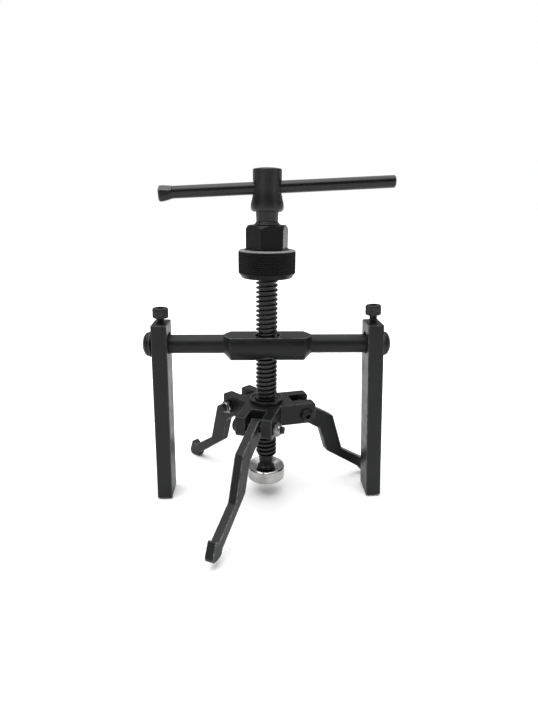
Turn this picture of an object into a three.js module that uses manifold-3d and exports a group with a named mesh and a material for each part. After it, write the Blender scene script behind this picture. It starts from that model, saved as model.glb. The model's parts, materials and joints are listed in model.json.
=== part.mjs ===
// Three-jaw inner bearing puller: a bridge of two legs and a crossbar, a forcing screw with
// a T-bar and a forcing nut, and a three-armed spider whose jaws end in outward hooks.
// Millimetres, +Z up. The origin is the centre of the expander disc's lower face, on the
// spindle's axis, and +X runs along the crossbar. Threads are plain, at their major diameter.
import * as THREE from 'three';
import { mergeVertices } from 'three/addons/utils/BufferGeometryUtils.js';
import Module from 'manifold-3d';

const wasm = await Module();
wasm.setup();

// ---- driving dimensions ----
const GAP = 0.3; // clearance between pieces that touch
const COLLAR = 36; // facets round a collar or disc
const ROUND = 28; // facets round a shaft or bore
const SMALL = 20; // facets round a screw head
const FINE = 12; // facets round a small hole

const BAR_Z = 97.2; // axis of the crossbar
const BAR_X = 0.5; // how far the crossbar sits off the spindle's axis

const SPINDLE_R = 7; // Tr14 major radius
const SPINDLE_TOP = 205.1; // crown of the head's slight dome
const THREAD_START = 17.6;
const HEAD_R = 8.6;
const HEAD_FLARE_R = 9.9;
const HEAD_BOTTOM = 180;
const STOP = { r: 8, waist: 6.65, high: 1.4 }; // collar that the nut rises to
const NECK_R = 4.5;
const FOOT_R = 5.95; // flange that pushes on the expander
const PILOT_R = 3.9; // stub below the flange, in the expander's socket

const TBAR = { r: 3.65, left: -64.4, right: 76.5, z: 193.8, tilt: 3.03, bore: 4.5, lip: 8.5 };

const NUT = { r: 17.8, footR: 16.1, bottom: 140.7, bevel: 3, shoulder: 157.5, top: 172.4 };
const HEX_FLATS = 23.4;
const HEX_CORNER_DEG = 13; // azimuth of one corner

const BAR = { r: 6.1, half: 74.6, blockR: 10.9, blockHalf: 23.9, coneHalf: 28.2, flat: 6.1, hole: 7.8 };
const LEG = { thick: 10, depth: 19.2, top: 14.4, length: 123, hole: 7.25, lift: 0.85 };
const LEG_FIT = { // where each leg is clamped, its splay in degrees and its screw's height
  left: { x: -68.1, splay: 1.2, screwZ: 17.6 },
  right: { x: 69.8, splay: 2.9, screwZ: 19.4 },
};
const CLAMP = { r: 2.6, headR: 5, headH: 6.3, socket: 2.5 };
const WASHER = { r: 8.3, thick: 1.4, hole: 3.3 };
const END_SCREW = { r: 3, headR: 7.8, headH: 3.4, length: 17, socket: 2.3 };

const ARM_DEG = { right: 12.8, rear: 132.8, front: 252.8 };
const ARM = { reach: 31.2, width: 24, slot: 10.2, slotRoot: 16.8, top: 57.4, bottom: 42.9 };
const ARM_ROUND = { upper: 2.4, lower: 5.5 };
const BUSH = { r: 9.2, flangeR: 11.1, rim: 59.9, floor: 58.9 };
const PIVOT = { r: 24.9, z: 49.1 };
const JAW_THICK = 5.6;
const JAW_HEAD = { r: 6, x: -0.5, z: -0.8 };
const JAW_BORE_R = 3.2;
const JAW_FIT = { // how each loose jaw sits in its slot, in degrees and mm
  right: { lift: 0, yaw: 6, shift: 0.5 },
  rear: { lift: -2.6, yaw: 3.3, shift: 0 },
  front: { lift: 3, yaw: -7.7, shift: 0.2 },
};
const PIN = { r: 2.5, headR: 4.7, headH: 2.7, socket: 1.7, end: 18.6 };
const PIN_NUT = { flats: 8, thick: 4.2 };

const DISC = { r: 12.9, h: 9.1, dishR: 12.1, floorR: 6.6, floor: 7, socketFloor: 1.8 };
const SNAP = { z: 3.3, half: 0.35, inner: 3.5, outer: 4.7 };

const deg = THREE.MathUtils.degToRad;

// ---- finishes ----
const finish = (color, roughness, metalness) =>
  new THREE.MeshStandardMaterial({ color, roughness, metalness });
const BLACK = finish(0x2c2d2f, 0.55, 0.6);
const BLACK_SCREW = finish(0x1b1b1c, 0.5, 0.6);
const KNURLED = finish(0x202124, 0.6, 0.6);
const CHROME = finish(0xb9b9b6, 0.25, 1);
const ZINC = finish(0xa9a9a6, 0.35, 1);

// ---- geometry helpers ----
function toSolid(geometry) {
  const bare = geometry.clone();
  bare.deleteAttribute('normal');
  bare.deleteAttribute('uv');
  const merged = mergeVertices(bare, 1e-4);
  return new wasm.Manifold(new wasm.Mesh({
    numProp: 3,
    vertProperties: new Float32Array(merged.attributes.position.array),
    triVerts: new Uint32Array(merged.index.array),
  }));
}

function toGeometry(solid) {
  const mesh = solid.getMesh();
  const geometry = new THREE.BufferGeometry();
  geometry.setAttribute('position', new THREE.BufferAttribute(mesh.vertProperties, 3));
  geometry.setIndex(new THREE.BufferAttribute(mesh.triVerts, 1));
  return geometry;
}

function box(x0, x1, y0, y1, z0, z1) {
  const shape = new THREE.BoxGeometry(x1 - x0, y1 - y0, z1 - z0);
  return shape.translate((x0 + x1) / 2, (y0 + y1) / 2, (z0 + z1) / 2);
}

// A solid turned about Z from [radius, height] points, upwards along its outside.
function turned(points, facets = ROUND) {
  return new THREE.LatheGeometry(points.map(([r, z]) => new THREE.Vector2(r, z)), facets)
    .rotateX(Math.PI / 2);
}

const rodZ = (r, z0, z1, facets = ROUND) => turned([[0, z0], [r, z0], [r, z1], [0, z1]], facets);
const rodX = (r, x0, x1, facets = ROUND) => rodZ(r, x0, x1, facets).rotateY(Math.PI / 2);
const rodY = (r, y0, y1, facets = ROUND) => rodZ(r, y0, y1, facets).rotateX(-Math.PI / 2);

// A hexagonal prism along Z, with a corner towards +X.
function hexPrism(flats, z0, z1) {
  return rodZ(flats / Math.sqrt(3), z0, z1, 6).rotateZ(Math.PI / 2);
}

// An outline in the X-Z plane, given thickness centred on Y = 0.
function slab(shape, thickness) {
  const geometry = new THREE.ExtrudeGeometry(shape, {
    depth: thickness, bevelEnabled: false, curveSegments: 8,
  });
  return geometry.translate(0, 0, -thickness / 2).rotateX(Math.PI / 2);
}

function cut(base, ...tools) {
  return toGeometry(tools.reduce((solid, tool) => solid.subtract(toSolid(tool)), toSolid(base)));
}

function join(base, ...others) {
  return toGeometry(others.reduce((solid, other) => solid.add(toSolid(other)), toSolid(base)));
}

function named(name, geometry, material) {
  const mesh = new THREE.Mesh(geometry, material.clone());
  mesh.name = name;
  return mesh;
}

// ---- forcing screw ----
function spindle() {
  const groove = PILOT_R - 0.7;
  const grooveHalf = SNAP.half + 0.25;
  const body = turned([
    [0, DISC.socketFloor + GAP],
    [PILOT_R, DISC.socketFloor + GAP],
    [PILOT_R, SNAP.z - grooveHalf],
    [groove, SNAP.z - grooveHalf],
    [groove, SNAP.z + grooveHalf],
    [PILOT_R, SNAP.z + grooveHalf],
    [PILOT_R, DISC.floor + GAP],
    [FOOT_R, DISC.floor + GAP],
    [FOOT_R, DISC.floor + 1.7],
    [NECK_R, DISC.floor + 2.9],
    [NECK_R + 0.6, THREAD_START - 1.2],
    [SPINDLE_R, THREAD_START],
    [SPINDLE_R, NUT.top + GAP],
    [STOP.r, NUT.top + GAP],
    [STOP.waist, NUT.top + GAP + STOP.high],
    [SPINDLE_R, HEAD_BOTTOM],
    [HEAD_FLARE_R - 1, HEAD_BOTTOM],
    [HEAD_FLARE_R, HEAD_BOTTOM + 1.4],
    [HEAD_FLARE_R, HEAD_BOTTOM + 4.4],
    [HEAD_R + 0.2, HEAD_BOTTOM + 8.8],
    [HEAD_R, HEAD_BOTTOM + 12],
    [HEAD_R, SPINDLE_TOP - 1.2],
    [HEAD_R - 0.6, SPINDLE_TOP - 0.7],
    [HEAD_R - 3.4, SPINDLE_TOP - 0.25],
    [0, SPINDLE_TOP],
  ]);
  const crossBore = rodX(TBAR.bore, -HEAD_FLARE_R - 1, HEAD_FLARE_R + 1).translate(0, 0, TBAR.z);
  return named('spindle', cut(body, crossBore), BLACK);
}

function tBar() {
  const shaft = rodX(TBAR.r, TBAR.left + 1, TBAR.right, SMALL);
  const lip = new THREE.Shape();
  lip.moveTo(TBAR.left, -4.6);
  lip.lineTo(TBAR.left + 2, -5.3);
  lip.lineTo(TBAR.left + TBAR.lip, -TBAR.r + 0.4);
  lip.lineTo(TBAR.left + TBAR.lip, TBAR.r - 0.4);
  lip.lineTo(TBAR.left + TBAR.lip - 1.4, TBAR.r + 0.4);
  lip.lineTo(TBAR.left + 0.6, TBAR.r + 0.8);
  lip.closePath();
  const bar = named('t_bar', join(shaft, slab(lip, 8.4)), BLACK);
  bar.position.z = TBAR.z;
  bar.rotation.y = -deg(TBAR.tilt);
  return bar;
}

function forcingNut() {
  const collar = turned([
    [0, NUT.bottom],
    [NUT.footR, NUT.bottom],
    [NUT.r, NUT.bottom + NUT.bevel],
    [NUT.r, NUT.shoulder - 0.4],
    [NUT.r - 0.4, NUT.shoulder],
    [0, NUT.shoulder],
  ], COLLAR);
  const hexRound = turned([
    [0, NUT.shoulder - 1],
    [15, NUT.shoulder - 1],
    [15, NUT.shoulder],
    [13.6, NUT.shoulder + 1.6],
    [13.6, NUT.top - 2.4],
    [11.5, NUT.top],
    [0, NUT.top],
  ], COLLAR);
  const hex = toSolid(hexPrism(HEX_FLATS, NUT.shoulder - 1, NUT.top)).intersect(toSolid(hexRound));
  const foot = turned([
    [0, NUT.shoulder - 1],
    [14.6, NUT.shoulder - 1],
    [14.6, NUT.shoulder],
    [11.6, NUT.shoulder + 1.6],
    [0, NUT.shoulder + 1.6],
  ], COLLAR);
  const solid = toSolid(collar).add(hex).add(toSolid(foot))
    .subtract(toSolid(rodZ(SPINDLE_R + GAP, NUT.bottom - 1, NUT.top + 1)));
  const nut = named('forcing_nut', toGeometry(solid), KNURLED);
  nut.rotation.z = deg(HEX_CORNER_DEG);
  return nut;
}

// ---- expander ----
function expanderDisc() {
  const socketR = PILOT_R + GAP;
  const grooveR = SNAP.outer + GAP;
  const grooveHalf = SNAP.half + 0.25;
  return named('expander_disc', turned([
    [0, 0],
    [DISC.r - 0.6, 0],
    [DISC.r, 0.6],
    [DISC.r, DISC.h - 0.5],
    [DISC.r - 0.5, DISC.h],
    [DISC.dishR, DISC.h],
    [DISC.floorR, DISC.floor],
    [socketR, DISC.floor],
    [socketR, SNAP.z + grooveHalf],
    [grooveR, SNAP.z + grooveHalf],
    [grooveR, SNAP.z - grooveHalf],
    [socketR, SNAP.z - grooveHalf],
    [socketR, DISC.socketFloor],
    [0, DISC.socketFloor],
  ], COLLAR), CHROME);
}

function snapRing() {
  const { z, half, inner, outer } = SNAP;
  const ring = turned([
    [inner, z - half], [outer, z - half], [outer, z + half], [inner, z + half], [inner, z - half],
  ], SMALL);
  return named('expander_snap_ring', cut(ring, box(0, outer + 1, -1.2, 1.2, z - 1, z + 1)), ZINC);
}

// ---- bridge ----
function crossbar() {
  const { r, half, blockR, blockHalf, coneHalf, flat } = BAR;
  const bar = turned([
    [0, -half], [r - 0.5, -half], [r, -half + 0.5], [r, -coneHalf], [blockR, -blockHalf],
    [blockR, blockHalf], [r, coneHalf], [r, half - 0.5], [r - 0.5, half], [0, half],
  ]).rotateY(Math.PI / 2);
  const flatCut = box(-coneHalf, coneHalf, -blockR, blockR, flat, blockR + 1);
  const spindleHole = rodZ(BAR.hole, -blockR - 1, blockR + 1);
  const holeDepth = END_SCREW.length + 2;
  const tapped = [-1, 1].map((side) => rodX(END_SCREW.r + GAP, half - holeDepth, half + 1, FINE)
    .rotateZ(side < 0 ? Math.PI : 0));
  const mesh = named('crossbar', cut(bar, flatCut, spindleHole, ...tapped), BLACK);
  mesh.position.set(BAR_X, 0, BAR_Z);
  return mesh;
}

// The washer and screw that hold a leg on the bar, made for the +X end.
function endRetainer(side) {
  const face = BAR.half + GAP;
  const seat = face + WASHER.thick + GAP;
  const crown = seat + END_SCREW.headH;
  const washer = turned([
    [WASHER.hole, face], [WASHER.r - 0.3, face], [WASHER.r, face + 0.3],
    [WASHER.r, face + WASHER.thick - 0.4], [WASHER.r - 0.4, face + WASHER.thick],
    [WASHER.hole, face + WASHER.thick], [WASHER.hole, face],
  ]).rotateY(Math.PI / 2);
  const screw = turned([
    [0, BAR.half - END_SCREW.length], [END_SCREW.r, BAR.half - END_SCREW.length],
    [END_SCREW.r, seat], [END_SCREW.headR, seat], [END_SCREW.headR - 0.3, seat + 0.9],
    [6.6, seat + 2.1], [4.8, seat + 3.05], [3.6, crown], [0, crown],
  ]).rotateY(Math.PI / 2);
  const socket = hexPrism(2 * END_SCREW.socket, crown - 2, crown + 1).rotateY(Math.PI / 2);
  const group = new THREE.Group();
  group.add(named(`end_washer_${side}`, washer, BLACK));
  group.add(named(`end_screw_${side}`, cut(screw, socket), BLACK_SCREW));
  group.position.set(BAR_X, 0, BAR_Z);
  group.rotation.z = side === 'left' ? Math.PI : 0;
  return group;
}

// A leg and its clamp screw, about the point where the leg hangs on the bar.
function leg(side) {
  const { x, splay, screwZ } = LEG_FIT[side];
  const { thick, depth, top, length, hole, lift } = LEG;
  const bar = box(-thick / 2, thick / 2, -depth / 2, depth / 2, top - length, top);
  const barHole = rodX(hole, -thick, thick).translate(0, 0, lift);
  const tapped = rodZ(CLAMP.r + GAP, BAR.r, top + 1, FINE);
  const crown = screwZ + CLAMP.headH;
  const screw = turned([
    [0, BAR.r + GAP], [CLAMP.r - 0.8, BAR.r + GAP], [CLAMP.r, BAR.r + 1.2], [CLAMP.r, screwZ],
    [CLAMP.headR, screwZ], [CLAMP.headR, crown - 0.6], [CLAMP.headR - 0.6, crown], [0, crown],
  ], SMALL);
  const socket = hexPrism(2 * CLAMP.socket, crown - 3, crown + 1);
  const group = new THREE.Group();
  group.add(named(`leg_${side}`, cut(bar, barHole, tapped), BLACK));
  group.add(named(`leg_clamp_screw_${side}`, cut(screw, socket), BLACK_SCREW));
  group.position.set(x, 0, BAR_Z);
  group.rotation.y = -Math.sign(x) * deg(splay);
  return group;
}

// ---- spider ----
function armShape() {
  const { reach, top, bottom } = ARM;
  const { upper, lower } = ARM_ROUND;
  const shape = new THREE.Shape();
  shape.moveTo(0, bottom);
  shape.lineTo(reach - lower, bottom);
  shape.absarc(reach - lower, bottom + lower, lower, -Math.PI / 2, 0);
  shape.absarc(reach - upper, top - upper, upper, 0, Math.PI / 2);
  shape.lineTo(0, top);
  shape.closePath();
  return shape;
}

function spider() {
  let solid = null;
  for (const azimuth of Object.values(ARM_DEG)) {
    const arm = toSolid(slab(armShape(), ARM.width).rotateZ(deg(azimuth)));
    solid = solid ? solid.add(arm) : arm;
  }
  for (const azimuth of Object.values(ARM_DEG)) {
    const half = ARM.slot / 2;
    const slot = box(ARM.slotRoot, ARM.reach + 1, -half, half, ARM.bottom - 1, ARM.top + 1);
    const pinHole = rodY(PIN.r + GAP, -ARM.width, ARM.width, FINE).translate(PIVOT.r, 0, PIVOT.z);
    solid = solid.subtract(toSolid(slot.rotateZ(deg(azimuth))))
      .subtract(toSolid(pinHole.rotateZ(deg(azimuth))));
  }
  const bushHole = rodZ(BUSH.r + GAP, ARM.bottom - 1, ARM.top + 1);
  return named('spider', toGeometry(solid.subtract(toSolid(bushHole))), BLACK);
}

function spiderBush() {
  const bore = SPINDLE_R + GAP;
  const seat = ARM.top + GAP;
  return named('spider_bush', turned([
    [bore, ARM.bottom + 0.4], [BUSH.r, ARM.bottom + 0.4], [BUSH.r, seat], [BUSH.flangeR, seat],
    [BUSH.flangeR, BUSH.rim - 0.4], [BUSH.flangeR - 0.4, BUSH.rim], [BUSH.flangeR - 1.4, BUSH.rim],
    [BUSH.flangeR - 1.9, BUSH.floor], [bore, BUSH.floor], [bore, ARM.bottom + 0.4],
  ]), BLACK);
}

// ---- jaws ----
// Outline about the pivot: a round head, a shank that cranks down, and an outward hook.
function jawShape() {
  const shape = new THREE.Shape();
  const slope = deg(-31);
  shape.absarc(JAW_HEAD.x, JAW_HEAD.z, JAW_HEAD.r, slope + Math.PI / 2, slope - Math.PI / 2);
  shape.lineTo(14.3, -17.2);
  shape.lineTo(20.2, -35.5);
  shape.lineTo(49.6, -55.4);
  shape.lineTo(50.4, -57.4);
  shape.quadraticCurveTo(51.2, -58.9, 53.6, -58.9);
  shape.lineTo(56.8, -58.9);
  shape.quadraticCurveTo(59.8, -58.6, 60.8, -55.4);
  shape.lineTo(57.4, -47.4);
  shape.lineTo(56.5, -46.5);
  shape.lineTo(53.3, -49);
  shape.lineTo(32.9, -36.4);
  shape.lineTo(24.2, -8.7);
  shape.closePath();
  return shape;
}

// A jaw, its pivot screw and its nut, about one arm's pivot.
function jawSet(arm) {
  const { lift, yaw, shift } = JAW_FIT[arm];
  const half = ARM.width / 2;
  const bore = rodY(JAW_BORE_R, -JAW_THICK, JAW_THICK, SMALL);
  const jaw = named(`jaw_${arm}`, cut(slab(jawShape(), JAW_THICK), bore), BLACK);
  jaw.rotation.set(0, -deg(lift), deg(yaw), 'ZYX');
  jaw.position.y = shift;

  const seat = half + GAP;
  const { r, headR, headH, end } = PIN;
  const screw = turned([
    [0, -seat - headH], [3, -seat - headH], [headR - 0.5, -seat - headH + 1], [headR, -seat],
    [r, -seat], [r, end - 0.5], [r - 0.5, end], [0, end],
  ], SMALL).rotateX(-Math.PI / 2);
  const socket = hexPrism(2 * PIN.socket, -seat - headH - 1, -seat - headH + 1.6)
    .rotateX(-Math.PI / 2);

  const nutTop = seat + PIN_NUT.thick;
  const nutRound = turned([
    [0, seat], [4.1, seat], [4.62, seat + 0.5], [4.62, nutTop - 1], [3.6, nutTop], [0, nutTop],
  ], SMALL);
  const nut = toSolid(hexPrism(PIN_NUT.flats, seat, nutTop)).intersect(toSolid(nutRound))
    .subtract(toSolid(rodZ(r + GAP, seat - 1, nutTop + 1, FINE)));

  const group = new THREE.Group();
  group.add(jaw);
  group.add(named(`jaw_screw_${arm}`, cut(screw, socket), BLACK_SCREW));
  group.add(named(`jaw_nut_${arm}`, toGeometry(nut).rotateX(-Math.PI / 2), ZINC));
  group.position.set(PIVOT.r, 0, PIVOT.z);
  const armGroup = new THREE.Group();
  armGroup.add(group);
  armGroup.rotation.z = deg(ARM_DEG[arm]);
  return armGroup;
}

// ---- assembly ----
const puller = new THREE.Group();
puller.add(spindle(), tBar(), forcingNut(), expanderDisc(), snapRing());
puller.add(crossbar(), spider(), spiderBush());
for (const side of ['left', 'right']) puller.add(leg(side), endRetainer(side));
for (const arm of Object.keys(ARM_DEG)) puller.add(jawSet(arm));

export default puller;
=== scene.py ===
"""Looks of the three-jaw inner bearing puller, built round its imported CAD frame.

Shapes are worked out in millimetres in the row frame, scaled to metres when they are done, and
ride on the CAD bodies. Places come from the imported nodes' boxes and the joints' axes.
"""

import json
import math

import bmesh
import bpy
from mathutils import Matrix, Vector

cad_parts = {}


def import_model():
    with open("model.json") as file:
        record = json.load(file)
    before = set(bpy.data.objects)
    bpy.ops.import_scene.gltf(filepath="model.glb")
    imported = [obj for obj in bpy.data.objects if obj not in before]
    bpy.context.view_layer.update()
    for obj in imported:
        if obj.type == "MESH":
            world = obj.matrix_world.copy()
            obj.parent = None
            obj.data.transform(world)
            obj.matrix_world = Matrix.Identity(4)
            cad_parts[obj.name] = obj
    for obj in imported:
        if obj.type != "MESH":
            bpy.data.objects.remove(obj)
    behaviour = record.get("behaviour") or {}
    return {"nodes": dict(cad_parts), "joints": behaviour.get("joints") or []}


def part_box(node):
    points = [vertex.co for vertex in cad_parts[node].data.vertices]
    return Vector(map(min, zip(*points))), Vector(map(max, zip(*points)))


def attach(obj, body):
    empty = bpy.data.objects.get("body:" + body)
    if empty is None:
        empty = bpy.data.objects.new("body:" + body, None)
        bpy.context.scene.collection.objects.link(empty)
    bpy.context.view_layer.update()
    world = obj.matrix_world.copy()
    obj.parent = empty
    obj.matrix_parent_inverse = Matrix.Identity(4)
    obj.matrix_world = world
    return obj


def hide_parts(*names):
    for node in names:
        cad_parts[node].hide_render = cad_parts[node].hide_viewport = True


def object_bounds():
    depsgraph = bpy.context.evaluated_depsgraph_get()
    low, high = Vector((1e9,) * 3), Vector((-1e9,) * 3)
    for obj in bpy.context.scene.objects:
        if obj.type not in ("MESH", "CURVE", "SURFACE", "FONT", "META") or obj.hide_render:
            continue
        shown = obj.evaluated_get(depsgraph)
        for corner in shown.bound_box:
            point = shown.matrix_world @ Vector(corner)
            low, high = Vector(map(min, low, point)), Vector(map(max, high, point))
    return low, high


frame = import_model()
CAD_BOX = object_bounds()
MM = 0.001
JOINTS = {joint["name"]: joint for joint in frame["joints"]}
ARMS = ("right", "rear", "front")
SIDES = (("left", -1), ("right", 1))

# ---- driving dimensions, in millimetres; an r, a bore or a round hole is given by its radius ----
GAP = 0.3  # clearance between pieces that touch
ROUND_SEGMENTS = 96

# The screws' threads: major and minor radius, and pitch.
FORCING_THREAD = (7.0, 5.25, 3.0)
CLAMP_THREAD = (2.6, 2.1, 1.0)
PIVOT_THREAD = (2.5, 2.05, 0.8)
# One turn of a thread's section: share of the pitch, and height between minor and major.
TRAPEZOID = (
    (0.02, 0.9), (0.06, 1.0), (0.32, 1.0), (0.36, 0.9),
    (0.49, 0.1), (0.54, 0.0), (0.84, 0.0), (0.89, 0.1),
)
VEE = ((0.0, 1.0), (0.12, 1.0), (0.5, 0.0), (0.62, 0.0))

SPINDLE = {
    "start": 17.6, "head_bottom": 180.0, "head_r": 8.6, "flare_r": 9.9,
    "neck_r": 4.5, "foot_r": 5.95, "pilot_r": 3.9, "core_r": 5.2,
}
STOP = {"r": 8.0, "waist": 6.65, "high": 1.4}  # collar above the nut, and the waist above that
T_BAR = {"r": 3.65, "bore": 4.25, "lip": 8.5, "left": -64.4, "z": 193.8}
T_BAR_LEAN = 0.17  # how far the tilted end's rim reaches past its centre
NUT = {
    "r": 17.8, "foot_r": 16.1, "bevel": 3.0, "collar": 16.8,
    "flats": 23.4, "crown_r": 11.5, "fillet_r": 14.6, "bore": 7.3,
}
HEX_CORNER = math.radians(13.0)  # azimuth of one corner
KNURL = {"around": 60, "depth": 0.55, "steep": 0.72, "land": 0.25, "rows": 64, "columns": 480}
DISC = {"dish": 2.1, "dish_r": 11.4, "floor_r": 6.6, "socket_r": 4.2, "socket_z": 1.8}

BAR_X, BAR_Z = 0.5, 97.2
BAR = {
    "r": 6.1, "block_r": 10.9, "block_half": 23.9, "cone_half": 28.2,
    "flat": 6.1, "hole": 7.8, "tap_r": 3.3, "tap": 19.0,
}
LEG = {
    "thick": 10.0, "depth": 19.2, "top": 14.4, "length": 123.0,
    "hole": 7.25, "mouth_r": 9.4, "lift": 0.85,
}
CLAMP = {
    "head_r": 5.0, "head_h": 6.3, "head_z": {"left": 17.6, "right": 19.4},
    "tip": 6.3, "key_r": 2.9, "key": 3.2, "teeth": 48,
}
WASHER = {"r": 8.3, "hole": 3.4, "thick": 1.4}
END_SCREW = {"r": 3.0, "length": 18.0, "head_r": 7.8, "head_h": 3.4, "key_r": 2.7, "key": 2.0}

ARM = {"reach": 31.2, "width": 24.0, "slot": 10.2, "root": 16.8, "upper": 2.4, "lower": 5.5}
BUSH = {"r": 9.2, "bore": 7.3, "hole": 9.5}
JAW = {"thick": 5.6, "bevel": 0.45, "bore": 3.2}
JAW_HEAD = {"r": 6.0, "x": -0.5, "z": -0.8, "slope": math.radians(-31)}
# How each loose jaw sits in its slot: lift and yaw in degrees, and sideways shift.
JAW_FIT = {"right": (0.0, 6.0, 0.5), "rear": (-2.6, 3.3, 0.0), "front": (3.0, -7.7, 0.2)}
PIN = {"shank_r": 2.45, "head_r": 4.5, "head_h": 2.7, "end": 18.6, "key_r": 1.95, "key": 2.2}
PIN_NUT = {"flats": 8.0, "thick": 4.2, "hexagon": 2.9, "bore": 2.8}


# ---- reading the frame ----
def box_mm(node):
    low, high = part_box(node)
    return low / MM, high / MM


def joint_point(name):
    return Vector(JOINTS[name]["pos_m"]) / MM


def joint_axis(name):
    return Vector(JOINTS[name]["axis"]).normalized()


def axes_matrix(origin, x_axis, z_axis):
    """The placement whose local X and Z run along these directions from origin."""
    z_dir = z_axis.normalized()
    y_dir = z_dir.cross(x_axis).normalized()
    x_dir = y_dir.cross(z_dir)
    turn = Matrix((x_dir, y_dir, z_dir)).transposed()
    return Matrix.Translation(origin) @ turn.to_4x4()


# ---- mesh tools ----
def new_object(name, verts, faces):
    mesh = bpy.data.meshes.new(name)
    mesh.from_pydata([tuple(v) for v in verts], [], faces)
    mesh.validate()
    obj = bpy.data.objects.new(name, mesh)
    bpy.context.scene.collection.objects.link(obj)
    return obj


def outward(obj):
    """Turns every face of a closed mesh outwards."""
    work = bmesh.new()
    work.from_mesh(obj.data)
    bmesh.ops.recalc_face_normals(work, faces=work.faces)
    if work.calc_volume(signed=True) < 0:
        bmesh.ops.reverse_faces(work, faces=work.faces)
    work.to_mesh(obj.data)
    work.free()
    return obj


def soften(corners, steps=4, closed=False):
    """The outline with its corners rounded. A corner is x, z and how far its rounding reaches."""
    count = len(corners)
    points = [Vector(corner[:2]) for corner in corners]
    made = []
    for i, corner in enumerate(points):
        rounding = corners[i][2] if len(corners[i]) > 2 else 0
        if rounding <= 0 or (not closed and i in (0, count - 1)):
            made.append(corner)
            continue
        before, after = points[i - 1], points[(i + 1) % count]
        reach = min(rounding, 0.45 * (before - corner).length, 0.45 * (after - corner).length)
        start = corner + (before - corner).normalized() * reach
        end = corner + (after - corner).normalized() * reach
        for s in range(steps + 1):
            t = s / steps
            made.append((1 - t) ** 2 * start + 2 * t * (1 - t) * corner + t ** 2 * end)
    return made


def lathe(name, outline, segments=ROUND_SEGMENTS, ripple=None):
    """A closed solid turned about Z. The outline starts and ends on the axis, or is a loop.

    A ripple gives the change of radius at an angle, radius and height.
    """
    on_axis = abs(outline[0][0]) < 1e-9
    verts, rings = [], []
    for r, z in outline:
        if abs(r) < 1e-9:
            rings.append([len(verts)])
            verts.append((0, 0, z))
            continue
        rings.append(list(range(len(verts), len(verts) + segments)))
        for i in range(segments):
            angle = 2 * math.pi * i / segments
            radius = r + (ripple(angle, r, z) if ripple else 0)
            verts.append((radius * math.cos(angle), radius * math.sin(angle), z))
    pairs = list(zip(rings, rings[1:])) + ([] if on_axis else [(rings[-1], rings[0])])
    faces = []
    for low, high in pairs:
        for i in range(segments):
            j = (i + 1) % segments
            if len(low) == 1 and len(high) == 1:
                continue
            if len(low) == 1:
                faces.append((low[0], high[j], high[i]))
            elif len(high) == 1:
                faces.append((low[i], low[j], high[0]))
            else:
                faces.append((low[i], low[j], high[j], high[i]))
    return outward(new_object(name, verts, faces))


def prism(name, outline, thickness, bevel=0.0, bevel_steps=2):
    """An outline in the X-Z plane with thickness along Y, its rims bevelled."""
    count = len(outline)
    half = thickness / 2
    verts = [(x, -half, z) for x, z in outline] + [(x, half, z) for x, z in outline]
    faces = [tuple(range(count)), tuple(reversed(range(count, 2 * count)))]
    for i in range(count):
        j = (i + 1) % count
        faces.append((i, i + count, j + count, j))
    obj = outward(new_object(name, verts, faces))
    if bevel:
        round_edges(obj, bevel, bevel_steps)
    return obj


def round_edges(obj, width, steps=2, angle=35):
    """Rounds every edge sharper than angle, in degrees."""
    work = bmesh.new()
    work.from_mesh(obj.data)
    bmesh.ops.remove_doubles(work, verts=work.verts, dist=1e-4)
    bmesh.ops.dissolve_limit(
        work, angle_limit=math.radians(1), verts=work.verts, edges=work.edges
    )
    sharp = [
        e for e in work.edges
        if len(e.link_faces) == 2 and e.calc_face_angle(0) > math.radians(angle)
    ]
    bmesh.ops.bevel(
        work, geom=sharp, offset=width, segments=steps, profile=0.5,
        affect="EDGES", clamp_overlap=True,
    )
    bmesh.ops.remove_doubles(work, verts=work.verts, dist=1e-4)
    work.to_mesh(obj.data)
    work.free()
    return obj


def block(name, low, high, bevel=0.0):
    outline = [(low[0], low[2]), (high[0], low[2]), (high[0], high[2]), (low[0], high[2])]
    obj = prism(name, outline, high[1] - low[1])
    obj.data.transform(Matrix.Translation((0, (low[1] + high[1]) / 2, 0)))
    return round_edges(obj, bevel, 3) if bevel else obj


def polygon_rod(name, sides, corner_radius, z0, z1, turn=0.0):
    outline = [(0, z0), (corner_radius, z0), (corner_radius, z1), (0, z1)]
    obj = lathe(name, outline, sides)
    obj.data.transform(Matrix.Rotation(turn, 4, "Z"))
    return obj


def rod(name, radius, z0, z1, segments=ROUND_SEGMENTS):
    return lathe(name, [(0, z0), (radius, z0), (radius, z1), (0, z1)], segments)


def along_x(obj):
    obj.data.transform(Matrix.Rotation(math.pi / 2, 4, "Y"))
    return obj


def along_y(obj):
    obj.data.transform(Matrix.Rotation(-math.pi / 2, 4, "X"))
    return obj


def moved(obj, *shift):
    obj.data.transform(Matrix.Translation(shift))
    return obj


def combine(base, tool, operation):
    """A boolean of two closed meshes, applied; the tool is used up."""
    modifier = base.modifiers.new("combine", "BOOLEAN")
    modifier.object = tool
    modifier.operation = operation
    modifier.solver = "MANIFOLD"
    graph = bpy.context.evaluated_depsgraph_get()
    graph.update()
    mesh = bpy.data.meshes.new_from_object(base.evaluated_get(graph))
    base.modifiers.clear()
    old = base.data
    base.data = mesh
    bpy.data.meshes.remove(old)
    bpy.data.objects.remove(tool)
    return base


def cut(base, *tools):
    for tool in tools:
        combine(base, tool, "DIFFERENCE")
    return base


def join(base, *others):
    for other in others:
        combine(base, other, "UNION")
    return base


def keep_common(base, other):
    return combine(base, other, "INTERSECT")


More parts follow.
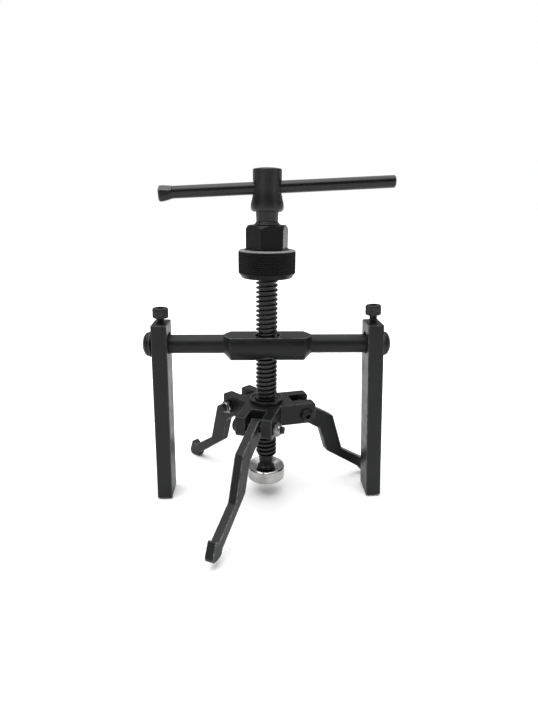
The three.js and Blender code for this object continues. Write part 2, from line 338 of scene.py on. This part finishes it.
def thread(name, size, section, z0, z1, segments):
    """A right-hand threaded rod, chamfered where it starts at z0 and cut square at z1."""
    major, minor, pitch = size
    steps = len(section)
    first = math.floor(z0 / pitch) - 2
    turns = math.ceil(z1 / pitch) + 2 - first
    rows = steps * turns
    verts = []
    for k in range(rows):
        share, height = section[k % steps]
        radius = minor + (major - minor) * height
        for i in range(segments):
            angle = 2 * math.pi * i / segments
            z = pitch * (first + k // steps + share + i / segments)
            verts.append((radius * math.cos(angle), radius * math.sin(angle), z))

    def at(i, k):
        return k * segments + i if i < segments else (k + steps) * segments

    faces = [
        (at(i, k), at(i + 1, k), at(i + 1, k + 1), at(i, k + 1))
        for k in range(rows - 1)
        for i in range(segments)
        if i < segments - 1 or k + 1 + steps < rows
    ]
    low_loop = [at(i, 0) for i in range(segments)] + [at(0, k) for k in range(steps, 0, -1)]
    top = rows - 1
    high_loop = [at(i, top) for i in range(segments)]
    high_loop += [at(segments - 1, k) for k in range(top - 1, top - steps - 1, -1)]
    for loop, z in ((low_loop, pitch * (first - 1)), (high_loop, pitch * (first + turns + 2))):
        centre = len(verts)
        verts.append((0, 0, z))
        faces += [(loop[i], loop[(i + 1) % len(loop)], centre) for i in range(len(loop))]
    body = outward(new_object(name, verts, faces))
    lead = (major - minor) * 0.8
    sleeve = lathe("sleeve", [
        (0, z0), (minor - 0.1, z0), (major + 0.1, z0 + lead), (major + 0.1, z1), (0, z1),
    ])
    return keep_common(body, sleeve)


# ---- finishing a piece ----
def show(obj, node, body, material, sharp=32):
    """Scales a piece to metres, shades it, and puts it in the CAD node's place."""
    obj.data.transform(Matrix.Scale(MM, 4))
    for face in obj.data.polygons:
        face.use_smooth = True
    obj.data.set_sharp_from_angle(angle=math.radians(sharp))
    weights = obj.modifiers.new("flat_faces", "WEIGHTED_NORMAL")
    weights.keep_sharp = True
    obj.data.materials.clear()
    obj.data.materials.append(material)
    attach(obj, body)
    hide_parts(node)


# ---- materials ----
class Shader:
    """A Principled material built node by node, in the piece's own coordinates."""

    def __init__(self, name, **values):
        self.material = bpy.data.materials.new(name)
        self.material.use_nodes = True
        self.nodes = self.material.node_tree.nodes
        self.links = self.material.node_tree.links
        self.base = self.nodes["Principled BSDF"]
        for socket, value in values.items():
            self.base.inputs[socket].default_value = value
        self.place = self.nodes.new("ShaderNodeTexCoord").outputs["Object"]
        self.height = None

    def add(self, kind, values=(), **settings):
        node = self.nodes.new("ShaderNode" + kind)
        for key, value in settings.items():
            setattr(node, key, value)
        for key, value in dict(values).items():
            if isinstance(value, bpy.types.NodeSocket):
                self.links.new(value, node.inputs[key])
            else:
                node.inputs[key].default_value = value
        return node

    def noise(self, scale, detail=3.0, rough=0.5, vector=None):
        values = {
            "Vector": vector or self.place, "Scale": scale, "Detail": detail, "Roughness": rough,
        }
        return self.add("TexNoise", values).outputs["Fac"]

    def spread(self, value, low, high, to_low=0.0, to_high=1.0):
        """The value carried from the range low to high over to another, and held at its ends."""
        values = {
            "Value": value, "From Min": low, "From Max": high, "To Min": to_low, "To Max": to_high,
        }
        return self.add("MapRange", values).outputs["Result"]

    def math(self, operation, a, b=0.0):
        return self.add("Math", {0: a, 1: b}, operation=operation).outputs["Value"]

    def mix_colour(self, share, a, b):
        node = self.add("Mix", data_type="RGBA")
        for key, value in ((0, share), (6, a), (7, b)):
            if isinstance(value, bpy.types.NodeSocket):
                self.links.new(value, node.inputs[key])
            else:
                node.inputs[key].default_value = value
        return node.outputs[2]

    def turned_vector(self, stretch):
        """Coordinates that only change with the distance from Z and along Z, for lathe marks."""
        parts = self.add("SeparateXYZ", {"Vector": self.place})
        x, y, z = (parts.outputs[i] for i in range(3))
        square = self.math("ADD", self.math("MULTIPLY", x, x), self.math("MULTIPLY", y, y))
        radius = self.math("SQRT", square)
        values = {"X": self.math("MULTIPLY", radius, stretch), "Y": self.math("MULTIPLY", z, stretch)}
        return self.add("CombineXYZ", values).outputs["Vector"]

    def set(self, socket, value):
        self.links.new(value, self.base.inputs[socket])

    def bump(self, height, strength, distance):
        values = {"Height": height, "Strength": strength, "Distance": distance}
        if self.height is not None:
            values["Normal"] = self.height
        node = self.add("Bump", values)
        self.height = node.outputs["Normal"]
        self.set("Normal", self.height)

    def worn_edges(self, reach=0.0008):
        """0 on flats and up to 1 along edges, broken up into patches."""
        rounded = self.add("Bevel", {"Radius": reach}, samples=6).outputs["Normal"]
        plain = self.nodes.new("ShaderNodeNewGeometry").outputs["Normal"]
        alike = self.add("VectorMath", {0: rounded, 1: plain}, operation="DOT_PRODUCT")
        patchy = self.spread(self.noise(420, 4), 0.3, 0.6)
        return self.math("MULTIPLY", self.spread(alike.outputs["Value"], 0.995, 0.94), patchy)

    def band(self, height, half):
        """1 within half of this height, both in metres, and 0 well away from it."""
        z = self.add("SeparateXYZ", {"Vector": self.place}).outputs[2]
        away = self.math("ABSOLUTE", self.math("SUBTRACT", z, height))
        return self.spread(away, 2 * half, half)


def grey(value, warm=0.0):
    """A grey, warmer above zero and cooler below it."""
    return (value * (1 + warm), value, value * (1 - warm), 1.0)


def black_steel(
    name, dark, light, ior, rough=(0.34, 0.46), wear_and_highlight_amount=0.8, wear_and_highlight_tone=0.2, grain=0.15, rim=None,
):
    """Black oxide on steel: near-black, faintly mottled, fine-grained, thin on its edges.

    The edges are bared to a lighter tone, by a given amount. Given a band, as a height and half width
    in metres, that tone and amount paint a highlight on the band instead of baring the edges.
    """
    shader = Shader(name, Metallic=0.0, IOR=ior)
    mottle = shader.spread(shader.noise(40, 4, 0.5), 0.3, 0.7)
    colour = shader.mix_colour(mottle, grey(dark, -0.03), grey(light, -0.04))
    # With a band given, this paints a highlight on that band in place of bared edges.
    edges = shader.math("MULTIPLY", shader.band(*rim) if rim else shader.worn_edges(), wear_and_highlight_amount)
    shader.set("Base Color", shader.mix_colour(edges, colour, grey(wear_and_highlight_tone, -0.01)))
    shader.set("Roughness", shader.spread(shader.noise(160, 4), 0.3, 0.7, *rough))
    if grain:
        shader.bump(shader.noise(1400, 4, 0.6), grain, 0.00004)
    return shader.material


def turned_black():
    """Black oxide over lathe marks."""
    shader = Shader("black_turned", Metallic=0.0, IOR=1.4)
    mottle = shader.spread(shader.noise(70, 5, 0.6), 0.3, 0.7)
    edges = shader.math("MULTIPLY", shader.worn_edges(0.0004), 0.2)
    colour = shader.mix_colour(mottle, grey(0.004, -0.03), grey(0.008, -0.03))
    shader.set("Base Color", shader.mix_colour(edges, colour, grey(0.2)))
    shader.set("Roughness", shader.spread(shader.noise(120, 4), 0.3, 0.7, 0.3, 0.42))
    shader.bump(shader.noise(1, 2, 0.5, shader.turned_vector(3000)), 0.12, 0.00005)
    return shader.material


def chrome():
    """Turned and plated: bright, with fine rings and faint clouding."""
    shader = Shader("chrome", Metallic=1.0)
    cloud = shader.spread(shader.noise(110, 4, 0.6), 0.35, 0.65)
    shader.set("Base Color", shader.mix_colour(cloud, grey(0.24, 0.01), grey(0.4, 0.015)))
    rings = shader.noise(1, 3, 0.6, shader.turned_vector(5000))
    shader.set("Roughness", shader.spread(rings, 0.3, 0.7, 0.14, 0.26))
    shader.bump(rings, 0.25, 0.00004)
    shader.bump(shader.noise(420, 3), 0.5, 0.00012)
    return shader.material


def zinc():
    """Bright zinc plate with dull patches."""
    shader = Shader("bright_zinc", Metallic=1.0)
    patch = shader.spread(shader.noise(300, 5, 0.6), 0.35, 0.65)
    shader.set("Base Color", shader.mix_colour(patch, grey(0.1), grey(0.26, 0.01)))
    shader.set("Roughness", shader.spread(patch, 0.0, 1.0, 0.2, 0.4))
    shader.bump(shader.noise(1500, 3), 0.15, 0.00004)
    return shader.material


# A painted highlight along the collar's top rim, standing in for a small chamfer there that catches
# the light from above.
NUT_RIM_HIGHLIGHT = ((box_mm("forcing_nut")[0].z + NUT["collar"] - 0.2) * MM, 0.00025)

STEEL = black_steel("black_steel", 0.006, 0.010, 1.27, wear_and_highlight_tone=0.26)
LEG_STEEL = black_steel("black_steel_leg", 0.007, 0.011, 1.28)
JAW_STEEL = black_steel("black_steel_jaw", 0.006, 0.012, 1.27, wear_and_highlight_amount=1.0, wear_and_highlight_tone=0.36)
FASTENER = black_steel("black_fastener", 0.004, 0.007, 1.28, wear_and_highlight_amount=0.15)
# The knurled collar bares no edges: its top rim band gets a painted highlight in the lighter tone.
KNURLED = black_steel(
    "black_knurled", 0.003, 0.005, 1.21, rough=(0.24, 0.34), wear_and_highlight_tone=0.3, grain=0.1, rim=NUT_RIM_HIGHLIGHT,
)
DRAWN = black_steel("black_drawn_bar", 0.004, 0.006, 1.36, rough=(0.26, 0.32), grain=0)
TURNED = turned_black()
CHROME = chrome()
ZINC = zinc()


# ---- forcing screw and what rides on it ----
def spindle():
    low, high = box_mm("spindle")
    start, bottom, top = SPINDLE["start"], SPINDLE["head_bottom"], high.z
    head_r, flare_r = SPINDLE["head_r"], SPINDLE["flare_r"]
    neck_r, foot_r = SPINDLE["neck_r"], SPINDLE["foot_r"]
    pilot_r, core_r = SPINDLE["pilot_r"], SPINDLE["core_r"]
    shoulder_r = FORCING_THREAD[0]
    foot = box_mm("expander_disc")[1].z - DISC["dish"] + GAP
    stop = box_mm("forcing_nut")[1].z + GAP
    neck = lathe("neck", soften([
        (0, low.z), (pilot_r, low.z, 0.3), (pilot_r, foot), (foot_r, foot, 0.3),
        (foot_r, foot + 1.4, 0.6), (neck_r, foot + 2.6, 1.2), (neck_r + 0.6, start - 1.2, 0.6),
        (core_r + 0.15, start - 0.6, 0.4), (core_r, start + 3), (0, start + 3),
    ]))
    head = lathe("head", soften([
        (0, stop - 1), (core_r, stop - 1), (core_r, stop), (STOP["r"], stop, 0.15),
        (STOP["waist"], stop + STOP["high"], 0.7), (shoulder_r, bottom - 0.2, 1.2),
        (shoulder_r, bottom), (flare_r - 1, bottom, 0.3), (flare_r, bottom + 1.4, 0.7),
        (flare_r, bottom + 4.4, 1.6), (head_r + 0.2, bottom + 8.8, 2.4), (head_r, bottom + 12, 1),
        (head_r, top - 1.2, 0.25), (head_r - 0.5, top - 0.7, 0.3), (head_r - 3.4, top - 0.2, 1.5),
        (0, top),
    ], 5), segments=128)
    body = thread("spindle_fine", FORCING_THREAD, TRAPEZOID, start - 0.4, stop + 0.1, 84)
    join(body, neck, head)
    bore = along_x(rod("bore", T_BAR["bore"], -flare_r - 1, flare_r + 1, 64))
    cut(body, moved(bore, 0, 0, T_BAR["z"]))
    show(body, "spindle", "spindle", TURNED)


def loft(name, sections):
    """A closed solid through rings of equal point counts."""
    count = len(sections[0])
    verts = [point for ring in sections for point in ring]
    faces = [tuple(range(count)), tuple(range(len(verts) - count, len(verts)))]
    for s in range(len(sections) - 1):
        for i in range(count):
            j = (i + 1) % count
            a, b = s * count, (s + 1) * count
            faces.append((a + i, a + j, b + j, b + i))
    return outward(new_object(name, verts, faces))


def t_bar():
    """A round bar whose left end is hammered out into a wedge."""
    axis = joint_axis("t_bar_slide")
    left = T_BAR["left"]
    right = (box_mm("t_bar")[1].x - T_BAR_LEAN) / axis.x
    radius, lip = T_BAR["r"], T_BAR["lip"]
    end_r = radius - 0.45
    # place along the bar, half width, height above and below, and how square the section is
    stations = (
        (left, 3.7, 4.1, 4.5, 5.0),
        (left + 0.5, 4.05, 4.35, 5.0, 5.0),
        (left + 2.2, 4.1, 4.4, 5.05, 5.0),
        (left + 5.5, 3.95, 4.15, 4.35, 4.0),
        (left + lip - 1.2, 3.8, 3.95, 3.8, 3.0),
        (left + lip, radius, radius, radius, 2.0),
        (right - 0.5, radius, radius, radius, 2.0),
        (right, end_r, end_r, end_r, 2.0),
    )
    rings = []
    for x, half, above, below, power in stations:
        ring = []
        for i in range(48):
            angle = 2 * math.pi * i / 48
            c, s = math.cos(angle), math.sin(angle)
            grow = (abs(c) ** power + abs(s) ** power) ** (-1 / power)
            ring.append((x, half * grow * c, (above if s > 0 else below) * grow * s))
        rings.append(ring)
    bar = loft("t_bar_fine", rings)
    facet = block("facet", (-6, -8, 0), (6, 8, 6))
    tilt = Matrix.Rotation(math.radians(24), 4, "X") @ Matrix.Rotation(math.radians(3), 4, "Y")
    facet.data.transform(Matrix.Translation((left + 1.8, 0, 3.3)) @ tilt)
    cut(bar, facet)
    up = Vector((-axis.z, 0, axis.x))
    bar.data.transform(axes_matrix(Vector((0, 0, T_BAR["z"])), axis, up))
    show(bar, "t_bar", "t_bar", DRAWN, 26)


def forcing_nut():
    low, high = box_mm("forcing_nut")
    bottom, top = low.z, high.z
    shoulder = bottom + NUT["collar"]
    radius, foot_r, bevel = NUT["r"], NUT["foot_r"], NUT["bevel"]
    knurl_low, knurl_high = bottom + bevel, shoulder - 0.9
    around, depth = KNURL["around"], KNURL["depth"]

    def diamonds(angle, r, z):
        if r < radius - 0.01:
            return 0.0
        turns = angle / (2 * math.pi) * around
        rise = z / (2 * math.pi * radius / around) * KNURL["steep"]
        waves = [abs(((turns + sign * rise) % 1.0) * 2 - 1) for sign in (-1, 1)]
        return -depth * max(max(waves) - KNURL["land"], 0) / (1 - KNURL["land"])

    rows = KNURL["rows"]
    band = [(radius, knurl_low + (knurl_high - knurl_low) * i / rows) for i in range(rows + 1)]
    collar = lathe("forcing_nut_fine", [
        (0, bottom), (foot_r - 0.4, bottom), (foot_r, bottom + 0.3), (radius - 0.5, knurl_low - 0.5),
        *band, (radius - 0.45, knurl_high + 0.3), (radius - 0.45, shoulder - 0.25),
        (radius - 0.7, shoulder), (0, shoulder),
    ], KNURL["columns"], diamonds)
    corner = NUT["flats"] / math.sqrt(3)
    hexagon = polygon_rod("hexagon", 6, corner, shoulder - 1, top)
    round_edges(hexagon, 0.35)
    envelope = lathe("envelope", soften([
        (0, shoulder - 1), (corner + 1, shoulder - 1), (corner + 1, shoulder),
        (corner, shoulder + 1.6, 0.8), (corner, top - 2.4, 1.0), (NUT["crown_r"], top, 0.5), (0, top),
    ]))
    fillet_r = NUT["fillet_r"]
    fillet = lathe("fillet", soften([
        (0, shoulder - 1), (fillet_r, shoulder - 1), (fillet_r, shoulder + 0.01),
        (fillet_r - 3, shoulder + 1.6, 0.3), (0, shoulder + 1.6),
    ]))
    keep_common(hexagon, envelope)
    hexagon.data.transform(Matrix.Rotation(HEX_CORNER, 4, "Z"))
    join(collar, hexagon, fillet)
    bore = NUT["bore"]
    cut(collar, lathe("bore", [
        (0, bottom - 1), (bore + 2.2, bottom - 1), (bore, bottom + 1.2), (bore, top - 1),
        (bore + 1.6, top + 0.6), (0, top + 0.6),
    ]))
    show(collar, "forcing_nut", "forcing_nut", KNURLED, 30)


def expander():
    high = box_mm("expander_disc")[1]
    radius, top = high.x, high.z
    floor, socket_r, socket_z = top - DISC["dish"], DISC["socket_r"], DISC["socket_z"]
    disc = lathe("expander_disc_fine", soften([
        (0, 0), (radius - 0.6, 0, 0.4), (radius, 0.6, 0.4), (radius, top - 1.0, 0.35),
        (radius - 1.0, top, 0.35), (DISC["dish_r"], top, 0.3), (DISC["floor_r"], floor, 1.0),
        (socket_r, floor, 0.3), (socket_r, socket_z, 0.2), (0, socket_z),
    ], 5), segments=160)
    show(disc, "expander_disc", "expander", CHROME)
    ring = frame["nodes"]["expander_snap_ring"]
    ring.data.materials.clear()
    ring.data.materials.append(ZINC)


# ---- bridge ----
def facing(sign):
    """A half turn about Z for what is on the left."""
    return Matrix.Rotation(math.pi * (sign < 0), 4, "Z")


def crossbar():
    half, r = box_mm("crossbar")[1].x - BAR_X, BAR["r"]
    block_r, block_half, cone_half = BAR["block_r"], BAR["block_half"], BAR["cone_half"]
    flat_z, hole_r = BAR["flat"], BAR["hole"]
    bar = lathe("crossbar_fine", soften([
        (0, -half), (r - 0.5, -half, 0.3), (r, -half + 0.5, 0.4), (r, -cone_half, 1.0),
        (block_r, -block_half, 0.5), (block_r, block_half, 0.5), (r, cone_half, 1.0),
        (r, half - 0.5, 0.4), (r - 0.5, half, 0.3), (0, half),
    ], 5), segments=128)
    along_x(bar)
    reach, beyond = cone_half + 2, block_r + 2
    flat = block("flat", (-reach, -beyond, flat_z), (reach, beyond, block_r + 3))
    hole = lathe("hole", [
        (0, -block_r - 1), (hole_r + 1.6, -block_r - 1), (hole_r, -block_r + 0.6),
        (hole_r, flat_z - 0.6), (hole_r + 1.2, flat_z + 0.6), (0, flat_z + 0.6),
    ])
    cut(bar, flat, hole)
    for _, sign in SIDES:
        tapped = along_x(rod("tapped", BAR["tap_r"], half - BAR["tap"], half + 1, 32))
        tapped.data.transform(facing(sign))
        cut(bar, tapped)
    moved(bar, BAR_X, 0, BAR_Z)
    show(bar, "crossbar", "bridge", STEEL)


def hex_key(name, corner_radius, z0, z1):
    """The socket for a hexagon key, as a tool to cut with."""
    return polygon_rod(name, 6, corner_radius, z0, z1, math.pi / 6)


def end_retainer(side, sign):
    """The washer and the domed screw that keep a leg on the crossbar."""
    face = box_mm("crossbar")[1].x - BAR_X + GAP
    radius, thick, hole = WASHER["r"], WASHER["thick"], WASHER["hole"]
    seat = face + thick + GAP
    crown = seat + END_SCREW["head_h"]
    washer = lathe(f"end_washer_{side}_fine", soften([
        (hole, face, 0.1), (radius, face, 0.25), (radius, face + thick, 0.6),
        (hole, face + thick, 0.1),
    ], 4, closed=True), segments=112)
    shank_r, head_r = END_SCREW["r"], END_SCREW["head_r"]
    tip = seat - END_SCREW["length"]
    screw = lathe(f"end_screw_{side}_fine", soften([
        (0, tip), (shank_r, tip, 0.4), (shank_r, seat), (head_r, seat, 0.2),
        (head_r - 0.1, seat + 0.9, 0.6), (7.0, seat + 1.9, 1.2), (5.4, seat + 2.9, 1.2),
        (3.9, crown, 0.6), (0, crown),
    ], 5), segments=112)
    cut(screw, hex_key("key", END_SCREW["key_r"], crown - END_SCREW["key"], crown + 1))
    turn = Matrix.Translation((BAR_X, 0, BAR_Z)) @ facing(sign)
    for obj in (washer, screw):
        along_x(obj)
        obj.data.transform(turn)
    show(washer, f"end_washer_{side}", "bridge", STEEL)
    show(screw, f"end_screw_{side}", "bridge", FASTENER)


def leg_place(side):
    """Where a leg's own frame sits: at the crossbar's axis, with Z up along the leg."""
    turn = f"clamp_turn_{side}"
    return axes_matrix(joint_point(turn), Vector((1, 0, 0)), joint_axis(turn))


def leg(side):
    thick, depth, top, length = LEG["thick"], LEG["depth"], LEG["top"], LEG["length"]
    half, hole_r, mouth_r = thick / 2, LEG["hole"], LEG["mouth_r"]
    low, high = (-half, -depth / 2, top - length), (half, depth / 2, top)
    bar = block(f"leg_{side}_fine", low, high, 0.5)
    hole = lathe("hole", [
        (0, -thick), (mouth_r, -thick), (hole_r, -half + 0.5), (hole_r, half - 0.5),
        (mouth_r, thick), (0, thick),
    ], 96)
    tapped = rod("tapped", CLAMP_THREAD[0] + GAP, 6, top + 1, 48)
    cut(bar, moved(along_x(hole), 0, 0, LEG["lift"]), tapped)
    bar.data.transform(leg_place(side))
    show(bar, f"leg_{side}", f"leg_{side}", LEG_STEEL)


def clamp_screw(side):
    """A socket-head screw with straight flutes round its head."""
    head_z, head_r = CLAMP["head_z"][side], CLAMP["head_r"]
    crown = head_z + CLAMP["head_h"]
    name = f"leg_clamp_screw_{side}"

    def flutes(angle, r, z):
        depth = 0.16 * (0.5 + 0.5 * math.cos(CLAMP["teeth"] * angle))
        return -depth if r > head_r - 0.02 else 0.0

    screw = thread(f"{name}_fine", CLAMP_THREAD, VEE, CLAMP["tip"], head_z + 0.5, 48)
    fluted = [(head_r, head_z + 0.5 + i * (crown - head_z - 1.2) / 8) for i in range(9)]
    head = lathe("head", [
        (0, head_z), (head_r - 0.45, head_z), (head_r - 0.15, head_z + 0.2), *fluted,
        (head_r - 0.25, crown - 0.3), (head_r - 0.7, crown), (0, crown),
    ], 288, flutes)
    join(screw, head)
    cut(screw, hex_key("key", CLAMP["key_r"], crown - CLAMP["key"], crown + 1))
    screw.data.transform(leg_place(side))
    show(screw, name, f"clamp_screw_{side}", FASTENER)


# ---- spider and jaws ----
def arm_turn(arm):
    """The turn from the row's X axis to an arm's direction."""
    pivot = joint_point(f"jaw_swing_{arm}")
    return Matrix.Rotation(math.atan2(pivot.y, pivot.x), 4, "Z")


def arm_place(arm):
    """An arm's own frame: at its pivot, with X outwards and Y along the pin."""
    return Matrix.Translation(joint_point(f"jaw_swing_{arm}")) @ arm_turn(arm)


def spider():
    low, high = box_mm("spider")
    reach, half, slot_half = ARM["reach"], ARM["width"] / 2, ARM["slot"] / 2
    outline = soften([
        (0, low.z), (reach, low.z, ARM["lower"]), (reach, high.z, ARM["upper"]), (0, high.z),
    ], 8)
    body = None
    for arm in ARMS:
        piece = prism("spider_fine", outline, ARM["width"])
        piece.data.transform(arm_turn(arm))
        body = join(body, piece) if body else piece
    below, above = low.z - 1, high.z + 1
    for arm in ARMS:
        slot = block("slot", (ARM["root"], -slot_half, below), (reach + 2, slot_half, above))
        slot.data.transform(arm_turn(arm))
        cut(body, slot)
    round_edges(body, 0.55, 3, 30)
    for arm in ARMS:
        hole = along_y(rod("hole", PIVOT_THREAD[0] + GAP, -half - 2, half + 2, 40))
        hole.data.transform(arm_place(arm))
        cut(body, hole)
    cut(body, rod("bush_hole", BUSH["hole"], below, above))
    show(body, "spider", "spider", STEEL)


def spider_bush():
    low, high = box_mm("spider_bush")
    bore, radius, flange_r, rim = BUSH["bore"], BUSH["r"], high.x, high.z
    seat = box_mm("spider")[1].z + GAP
    bush = lathe("spider_bush_fine", soften([
        (bore, low.z, 0.2), (radius, low.z, 0.3), (radius, seat), (flange_r, seat, 0.2),
        (flange_r, rim, 0.4), (flange_r - 1.4, rim, 0.3), (flange_r - 1.9, rim - 1.0, 0.3),
        (bore + 0.6, rim - 1.0, 0.3), (bore, rim - 1.6, 0.2),
    ], 5, closed=True), segments=128)
    show(bush, "spider_bush", "spider", TURNED)


def jaw_outline():
    """About the pivot: a round head, a shank that cranks down, and an outward hook."""
    radius, x, z, slope = JAW_HEAD["r"], JAW_HEAD["x"], JAW_HEAD["z"], JAW_HEAD["slope"]
    head = []
    for i in range(21):
        angle = slope + math.pi / 2 + math.pi * i / 20
        head.append((radius * math.cos(angle) + x, radius * math.sin(angle) + z))
    shank = soften([
        head[-1], (14.3, -17.2, 2.0), (20.2, -35.5, 1.4), (49.6, -55.4, 1.2), (50.6, -58.4, 1.3),
        (53.6, -58.9, 0.6), (56.8, -58.9, 0.6), (59.9, -58.2, 1.4), (60.8, -55.4, 0.8),
        (57.4, -47.4, 0.5), (56.5, -46.5, 0.5), (53.3, -49.0, 0.7), (32.9, -36.4, 1.2),
        (24.2, -8.7, 0.6), head[0],
    ], 5)
    return head + shank[1:-1]


def jaw(arm):
    lift, yaw, shift = JAW_FIT[arm]
    body = prism(f"jaw_{arm}_fine", jaw_outline(), JAW["thick"], JAW["bevel"], 3)
    cut(body, along_y(rod("bore", JAW["bore"], -4, 4, 40)))
    place = arm_place(arm) @ Matrix.Translation((0, shift, 0))
    place = place @ Matrix.Rotation(math.radians(yaw), 4, "Z")
    body.data.transform(place @ Matrix.Rotation(math.radians(-lift), 4, "Y"))
    show(body, f"jaw_{arm}", f"jaw_{arm}", JAW_STEEL)


def pivot_screw(arm):
    """The screw that a jaw swings on, its head on one side of the arm."""
    seat = ARM["width"] / 2 + GAP
    head_r, crown = PIN["head_r"], seat + PIN["head_h"]
    screw = thread(f"jaw_screw_{arm}_fine", PIVOT_THREAD, VEE, 8, PIN["end"], 40)
    shank = rod("shank", PIN["shank_r"], -seat - 0.5, 9, 48)
    head = lathe("head", soften([
        (0, -crown), (2.8, -crown, 0.5), (3.9, -crown + 0.75, 0.8), (4.4, -seat - 0.9, 0.5),
        (head_r, -seat, 0.2), (0, -seat),
    ], 5), segments=80)
    join(screw, shank, head)
    cut(screw, hex_key("key", PIN["key_r"], -crown - 1, -crown + PIN["key"]))
    along_y(screw)
    screw.data.transform(arm_place(arm))
    show(screw, f"jaw_screw_{arm}", "spider", FASTENER)


def pivot_nut(arm):
    """A lock nut: a hexagon with a round collar on top."""
    seat = ARM["width"] / 2 + GAP
    top, collar = seat + PIN_NUT["thick"], seat + PIN_NUT["hexagon"]
    nut = polygon_rod(f"jaw_nut_{arm}_fine", 6, PIN_NUT["flats"] / math.sqrt(3), seat, top)
    keep_common(nut, lathe("envelope", soften([
        (0, seat), (4.1, seat), (4.62, seat + 0.45, 0.2), (4.62, collar - 0.5, 0.3),
        (4.0, collar, 0.2), (3.75, collar + 0.1, 0.1), (3.7, top, 0.5), (0, top),
    ]), segments=72))
    cut(nut, rod("bore", PIN_NUT["bore"], seat - 1, top + 1, 40))
    along_y(nut)
    nut.data.transform(arm_place(arm))
    show(nut, f"jaw_nut_{arm}", "spider", ZINC)


# ---- build ----
spindle()
t_bar()
forcing_nut()
expander()
crossbar()
for side, sign in SIDES:
    end_retainer(side, sign)
    leg(side)
    clamp_screw(side)
spider()
spider_bush()
for arm in ARMS:
    jaw(arm)
    pivot_screw(arm)
    pivot_nut(arm)


# ---- stage, light and camera ----
# Place in millimetres, turns in degrees.
CAMERA = {
    "place": (-9.40, -305.88, 185.36), "pitch": 17.05, "heading": 2.06, "roll": 0.35,
    "lens": 24.93,
}

# Strength of the surroundings in front and behind, and the soft boxes: each one's direction,
# the angles in radians where it starts to fade and where it ends, and its strength.
STUDIO = {
    "front": 0.06,
    "back": 0.4,
    "boxes": (
        ((0.0, 0.1, 1.0), 0.35, 1.0, 2.3),
        ((-0.62, -0.76, 0.15), 0.12, 0.42, 1.0),
        ((0.86, -0.5, 0.2), 0.12, 0.42, 1.0),
    ),
}


def stage():
    """A pale floor just below the feet; sizes in metres."""
    half, level = 12.0, CAD_BOX[0].z - 0.0001
    corners = [(x * half, y * half, level) for x, y in ((-1, -1), (1, -1), (1, 1), (-1, 1))]
    floor = new_object("floor", corners, [(0, 1, 2, 3)])
    shader = Shader("floor", Metallic=0.0, Roughness=0.9)
    tone = shader.spread(shader.noise(3, 2), 0.0, 1.0)
    shader.set("Base Color", shader.mix_colour(tone, grey(0.93), grey(0.95)))
    floor.data.materials.append(shader.material)


def sun(name, energy, softness, direction):
    light = bpy.data.lights.new(name, "SUN")
    light.energy = energy
    light.angle = math.radians(softness)
    obj = bpy.data.objects.new(name, light)
    obj.rotation_euler = Vector(direction).to_track_quat("-Z", "Y").to_euler()
    bpy.context.scene.collection.objects.link(obj)


def world():
    """White to look at; as a light, a studio that is bright above and behind and dim in front."""
    made = bpy.data.worlds.new("studio")
    bpy.context.scene.world = made
    made.use_nodes = True
    nodes, links = made.node_tree.nodes, made.node_tree.links
    nodes.clear()

    def add(kind, **settings):
        node = nodes.new("ShaderNode" + kind)
        for key, value in settings.items():
            setattr(node, key, value)
        return node

    def ramp(value, low, high, to_low, to_high):
        node = add("MapRange", interpolation_type="SMOOTHSTEP")
        links.new(value, node.inputs["Value"])
        limits = {"From Min": low, "From Max": high, "To Min": to_low, "To Max": to_high}
        for key, number in limits.items():
            node.inputs[key].default_value = number
        return node.outputs["Result"]

    way = add("TexCoord").outputs["Generated"]
    parts = add("SeparateXYZ")
    links.new(way, parts.inputs["Vector"])
    total = ramp(parts.outputs["Y"], -0.7, 0.7, STUDIO["front"], STUDIO["back"])
    for direction, inner, outer, strength in STUDIO["boxes"]:
        along = add("VectorMath", operation="DOT_PRODUCT")
        links.new(way, along.inputs[0])
        along.inputs[1].default_value = Vector(direction).normalized()
        glow = ramp(along.outputs["Value"], math.cos(outer), math.cos(inner), 0.0, strength)
        both = add("Math", operation="ADD")
        links.new(total, both.inputs[0])
        links.new(glow, both.inputs[1])
        total = both.outputs["Value"]
    light, seen, mix = add("Background"), add("Background"), add("MixShader")
    links.new(total, light.inputs["Strength"])
    seen.inputs["Color"].default_value = (1, 1, 1, 1)
    light.inputs["Color"].default_value = (1, 1, 1, 1)
    links.new(add("LightPath").outputs["Is Camera Ray"], mix.inputs["Fac"])
    links.new(light.outputs["Background"], mix.inputs[1])
    links.new(seen.outputs["Background"], mix.inputs[2])
    links.new(mix.outputs["Shader"], add("OutputWorld").inputs["Surface"])


def camera():
    data = bpy.data.cameras.new("camera")
    data.sensor_width = 36.0
    data.lens = CAMERA["lens"]
    data.clip_start = 0.01
    obj = bpy.data.objects.new("camera", data)
    obj.location = Vector(CAMERA["place"]) * MM
    pitch, heading, roll = (math.radians(CAMERA[k]) for k in ("pitch", "heading", "roll"))
    turn = Matrix.Rotation(-heading, 4, "Z") @ Matrix.Rotation(math.pi / 2 - pitch, 4, "X")
    obj.rotation_euler = (turn @ Matrix.Rotation(roll, 4, "Z")).to_euler()
    bpy.context.scene.collection.objects.link(obj)
    bpy.context.scene.camera = obj


stage()
world()
sun("key", 1.7, 50, (0.2, 0.3, -1.0))
camera()
bpy.context.scene.view_settings.view_transform = "Standard"
